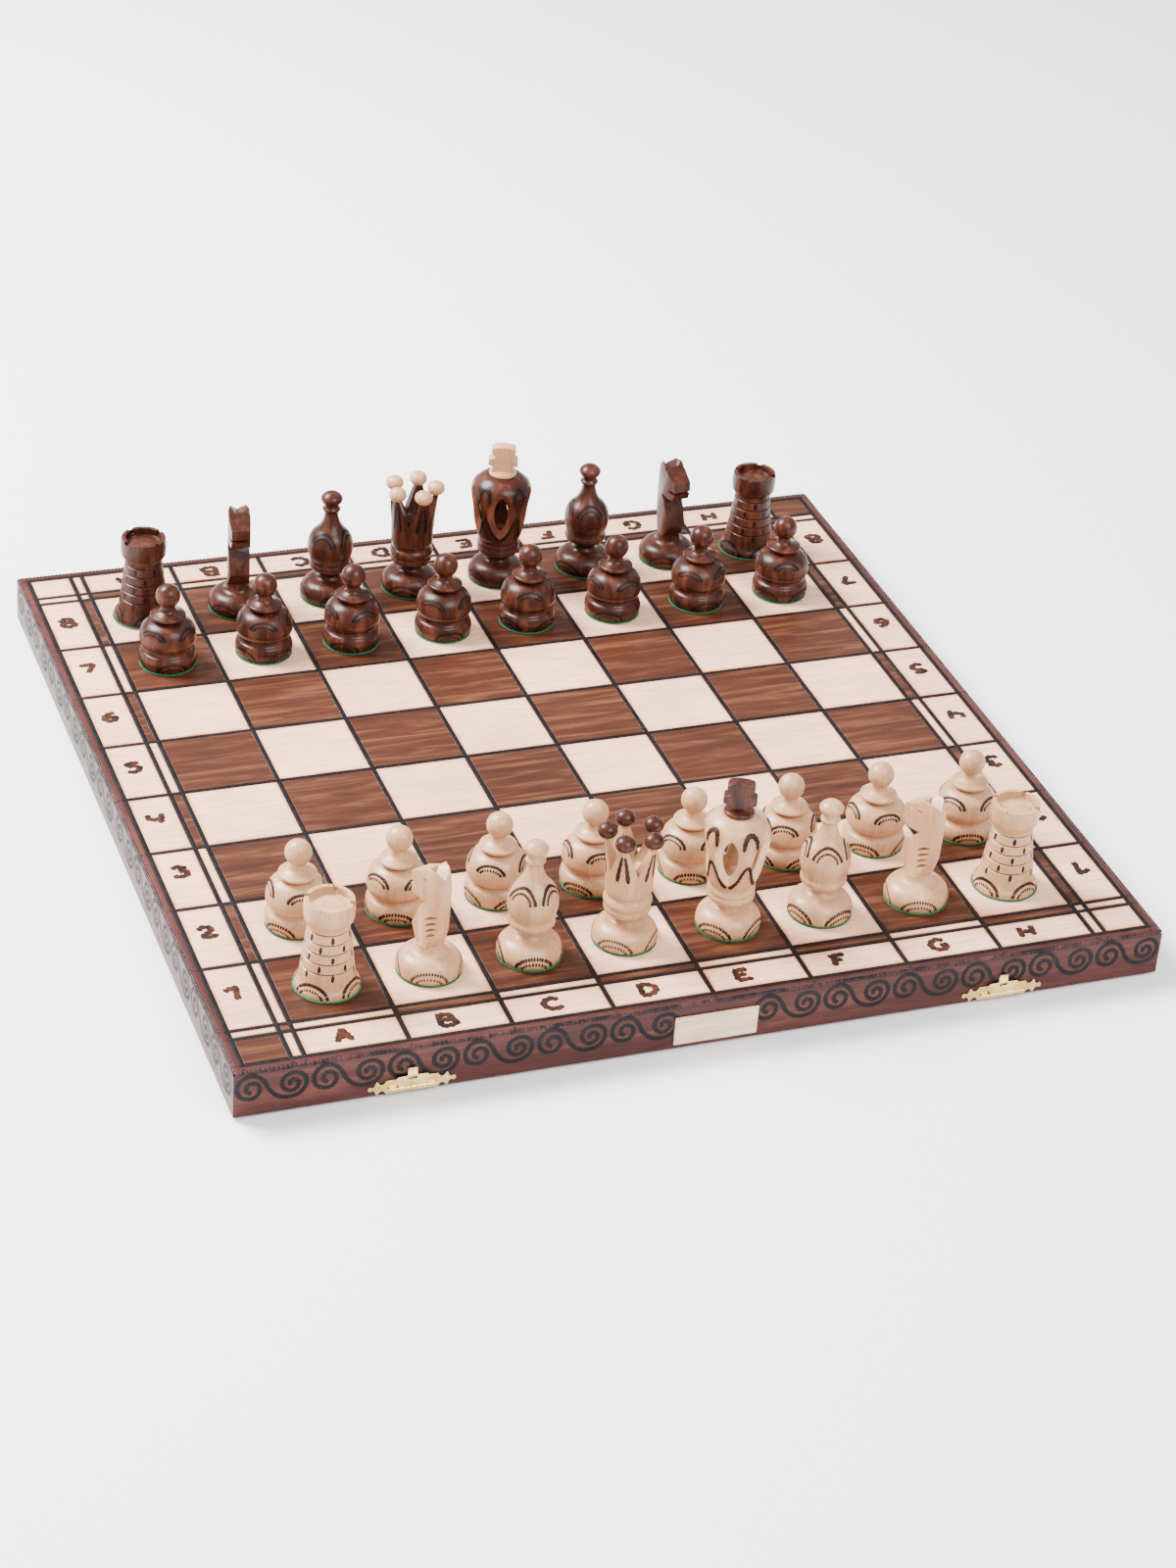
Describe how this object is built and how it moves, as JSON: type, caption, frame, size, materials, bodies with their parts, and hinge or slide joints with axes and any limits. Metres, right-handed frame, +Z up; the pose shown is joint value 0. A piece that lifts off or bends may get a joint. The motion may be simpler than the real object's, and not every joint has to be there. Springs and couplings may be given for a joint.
{
  "type": "folding chess set",
  "caption": "Folding wooden chess board with two brass clasps and a full set of felted, turned and carved chessmen standing in their starting places.",
  "frame": {"origin": "under the middle of the open board, on the surface it lies on, level with the undersides of the hinge knuckles", "axes": "+X from the a file to the h file, +Y from White's side to Black's side, +Z up"},
  "size_m": [0.5388, 0.5364, 0.1244],
  "materials": {
    "birch_ply": "satin birch plywood, dark squares stained walnut brown, lines burned",
    "stained_rail": "satin red-brown stained solid wood with burned scrolls",
    "tray_felt": "green felt",
    "brass": "polished brass",
    "plate_cream": "satin cream, blank",
    "pale_wood": "satin lacquered hornbeam with burned marks, green felt under the foot",
    "dark_wood": "satin lacquered dark stained hornbeam, green felt under the foot"
  },
  "bodies": {
    "white_half": {"white_panel": "birch_ply", "white_lining": "tray_felt", "white_front_rail": "stained_rail", "white_left_rail": "stained_rail", "white_right_rail": "stained_rail", "white_hinge_rail": "stained_rail", "white_hinge_leaves": "brass", "white_hinge_screws": "brass", "hinge_pins": "brass", "clasp_plates": "brass", "clasp_pins": "brass", "clasp_nails": "brass", "name_plate": "plate_cream"},
    "black_half": {"black_panel": "birch_ply", "black_lining": "tray_felt", "black_back_rail": "stained_rail", "black_left_rail": "stained_rail", "black_right_rail": "stained_rail", "black_hinge_rail": "stained_rail", "black_hinge_leaves": "brass", "black_hinge_screws": "brass", "catch_plates": "brass"},
    "clasp_left": {"clasp_hasp_left": "brass"},
    "clasp_right": {"clasp_hasp_right": "brass"},
    "white_rook_a1": {"white_rook_a1": "pale_wood"},
    "white_knight_b1": {"white_knight_b1": "pale_wood"},
    "white_bishop_c1": {"white_bishop_c1": "pale_wood"},
    "white_queen": {"white_queen": "pale_wood", "white_queen_balls": "dark_wood"},
    "white_king": {"white_king": "pale_wood", "white_king_finial": "dark_wood"},
    "white_bishop_f1": {"white_bishop_f1": "pale_wood"},
    "white_knight_g1": {"white_knight_g1": "pale_wood"},
    "white_rook_h1": {"white_rook_h1": "pale_wood"},
    "white_pawn_a2": {"white_pawn_a2": "pale_wood"},
    "white_pawn_b2": {"white_pawn_b2": "pale_wood"},
    "white_pawn_c2": {"white_pawn_c2": "pale_wood"},
    "white_pawn_d2": {"white_pawn_d2": "pale_wood"},
    "white_pawn_e2": {"white_pawn_e2": "pale_wood"},
    "white_pawn_f2": {"white_pawn_f2": "pale_wood"},
    "white_pawn_g2": {"white_pawn_g2": "pale_wood"},
    "white_pawn_h2": {"white_pawn_h2": "pale_wood"},
    "black_rook_a8": {"black_rook_a8": "dark_wood"},
    "black_knight_b8": {"black_knight_b8": "dark_wood"},
    "black_bishop_c8": {"black_bishop_c8": "dark_wood"},
    "black_queen": {"black_queen": "dark_wood", "black_queen_balls": "pale_wood"},
    "black_king": {"black_king": "dark_wood", "black_king_finial": "pale_wood"},
    "black_bishop_f8": {"black_bishop_f8": "dark_wood"},
    "black_knight_g8": {"black_knight_g8": "dark_wood"},
    "black_rook_h8": {"black_rook_h8": "dark_wood"},
    "black_pawn_a7": {"black_pawn_a7": "dark_wood"},
    "black_pawn_b7": {"black_pawn_b7": "dark_wood"},
    "black_pawn_c7": {"black_pawn_c7": "dark_wood"},
    "black_pawn_d7": {"black_pawn_d7": "dark_wood"},
    "black_pawn_e7": {"black_pawn_e7": "dark_wood"},
    "black_pawn_f7": {"black_pawn_f7": "dark_wood"},
    "black_pawn_g7": {"black_pawn_g7": "dark_wood"},
    "black_pawn_h7": {"black_pawn_h7": "dark_wood"}
  },
  "joints": [
    {"name": "board_fold", "type": "hinge", "parent": "white_half", "child": "black_half", "pos_m": [0, 0, 0.0015], "axis": [-1, 0, 0], "range_deg": [0, 180]},
    {"name": "clasp_left_swing", "type": "hinge", "parent": "white_half", "child": "clasp_left", "pos_m": [-0.1719, -0.2672, 0.00545], "axis": [1, 0, 0], "range_deg": [0, 180]},
    {"name": "clasp_right_swing", "type": "hinge", "parent": "white_half", "child": "clasp_right", "pos_m": [0.1719, -0.2672, 0.00545], "axis": [1, 0, 0], "range_deg": [0, 180]},
    {"name": "lift_white_rook_a1", "type": "slide", "parent": "white_half", "child": "white_rook_a1", "axis": [0, 0, 1], "range_m": [0, 0.12]},
    {"name": "lift_white_knight_b1", "type": "slide", "parent": "white_half", "child": "white_knight_b1", "axis": [0, 0, 1], "range_m": [0, 0.12]},
    {"name": "lift_white_bishop_c1", "type": "slide", "parent": "white_half", "child": "white_bishop_c1", "axis": [0, 0, 1], "range_m": [0, 0.12]},
    {"name": "lift_white_queen", "type": "slide", "parent": "white_half", "child": "white_queen", "axis": [0, 0, 1], "range_m": [0, 0.12]},
    {"name": "lift_white_king", "type": "slide", "parent": "white_half", "child": "white_king", "axis": [0, 0, 1], "range_m": [0, 0.12]},
    {"name": "lift_white_bishop_f1", "type": "slide", "parent": "white_half", "child": "white_bishop_f1", "axis": [0, 0, 1], "range_m": [0, 0.12]},
    {"name": "lift_white_knight_g1", "type": "slide", "parent": "white_half", "child": "white_knight_g1", "axis": [0, 0, 1], "range_m": [0, 0.12]},
    {"name": "lift_white_rook_h1", "type": "slide", "parent": "white_half", "child": "white_rook_h1", "axis": [0, 0, 1], "range_m": [0, 0.12]},
    {"name": "lift_white_pawn_a2", "type": "slide", "parent": "white_half", "child": "white_pawn_a2", "axis": [0, 0, 1], "range_m": [0, 0.12]},
    {"name": "lift_white_pawn_b2", "type": "slide", "parent": "white_half", "child": "white_pawn_b2", "axis": [0, 0, 1], "range_m": [0, 0.12]},
    {"name": "lift_white_pawn_c2", "type": "slide", "parent": "white_half", "child": "white_pawn_c2", "axis": [0, 0, 1], "range_m": [0, 0.12]},
    {"name": "lift_white_pawn_d2", "type": "slide", "parent": "white_half", "child": "white_pawn_d2", "axis": [0, 0, 1], "range_m": [0, 0.12]},
    {"name": "lift_white_pawn_e2", "type": "slide", "parent": "white_half", "child": "white_pawn_e2", "axis": [0, 0, 1], "range_m": [0, 0.12]},
    {"name": "lift_white_pawn_f2", "type": "slide", "parent": "white_half", "child": "white_pawn_f2", "axis": [0, 0, 1], "range_m": [0, 0.12]},
    {"name": "lift_white_pawn_g2", "type": "slide", "parent": "white_half", "child": "white_pawn_g2", "axis": [0, 0, 1], "range_m": [0, 0.12]},
    {"name": "lift_white_pawn_h2", "type": "slide", "parent": "white_half", "child": "white_pawn_h2", "axis": [0, 0, 1], "range_m": [0, 0.12]},
    {"name": "lift_black_rook_a8", "type": "slide", "parent": "black_half", "child": "black_rook_a8", "axis": [0, 0, 1], "range_m": [0, 0.12]},
    {"name": "lift_black_knight_b8", "type": "slide", "parent": "black_half", "child": "black_knight_b8", "axis": [0, 0, 1], "range_m": [0, 0.12]},
    {"name": "lift_black_bishop_c8", "type": "slide", "parent": "black_half", "child": "black_bishop_c8", "axis": [0, 0, 1], "range_m": [0, 0.12]},
    {"name": "lift_black_queen", "type": "slide", "parent": "black_half", "child": "black_queen", "axis": [0, 0, 1], "range_m": [0, 0.12]},
    {"name": "lift_black_king", "type": "slide", "parent": "black_half", "child": "black_king", "axis": [0, 0, 1], "range_m": [0, 0.12]},
    {"name": "lift_black_bishop_f8", "type": "slide", "parent": "black_half", "child": "black_bishop_f8", "axis": [0, 0, 1], "range_m": [0, 0.12]},
    {"name": "lift_black_knight_g8", "type": "slide", "parent": "black_half", "child": "black_knight_g8", "axis": [0, 0, 1], "range_m": [0, 0.12]},
    {"name": "lift_black_rook_h8", "type": "slide", "parent": "black_half", "child": "black_rook_h8", "axis": [0, 0, 1], "range_m": [0, 0.12]},
    {"name": "lift_black_pawn_a7", "type": "slide", "parent": "black_half", "child": "black_pawn_a7", "axis": [0, 0, 1], "range_m": [0, 0.12]},
    {"name": "lift_black_pawn_b7", "type": "slide", "parent": "black_half", "child": "black_pawn_b7", "axis": [0, 0, 1], "range_m": [0, 0.12]},
    {"name": "lift_black_pawn_c7", "type": "slide", "parent": "black_half", "child": "black_pawn_c7", "axis": [0, 0, 1], "range_m": [0, 0.12]},
    {"name": "lift_black_pawn_d7", "type": "slide", "parent": "black_half", "child": "black_pawn_d7", "axis": [0, 0, 1], "range_m": [0, 0.12]},
    {"name": "lift_black_pawn_e7", "type": "slide", "parent": "black_half", "child": "black_pawn_e7", "axis": [0, 0, 1], "range_m": [0, 0.12]},
    {"name": "lift_black_pawn_f7", "type": "slide", "parent": "black_half", "child": "black_pawn_f7", "axis": [0, 0, 1], "range_m": [0, 0.12]},
    {"name": "lift_black_pawn_g7", "type": "slide", "parent": "black_half", "child": "black_pawn_g7", "axis": [0, 0, 1], "range_m": [0, 0.12]},
    {"name": "lift_black_pawn_h7", "type": "slide", "parent": "black_half", "child": "black_pawn_h7", "axis": [0, 0, 1], "range_m": [0, 0.12]}
  ]
}
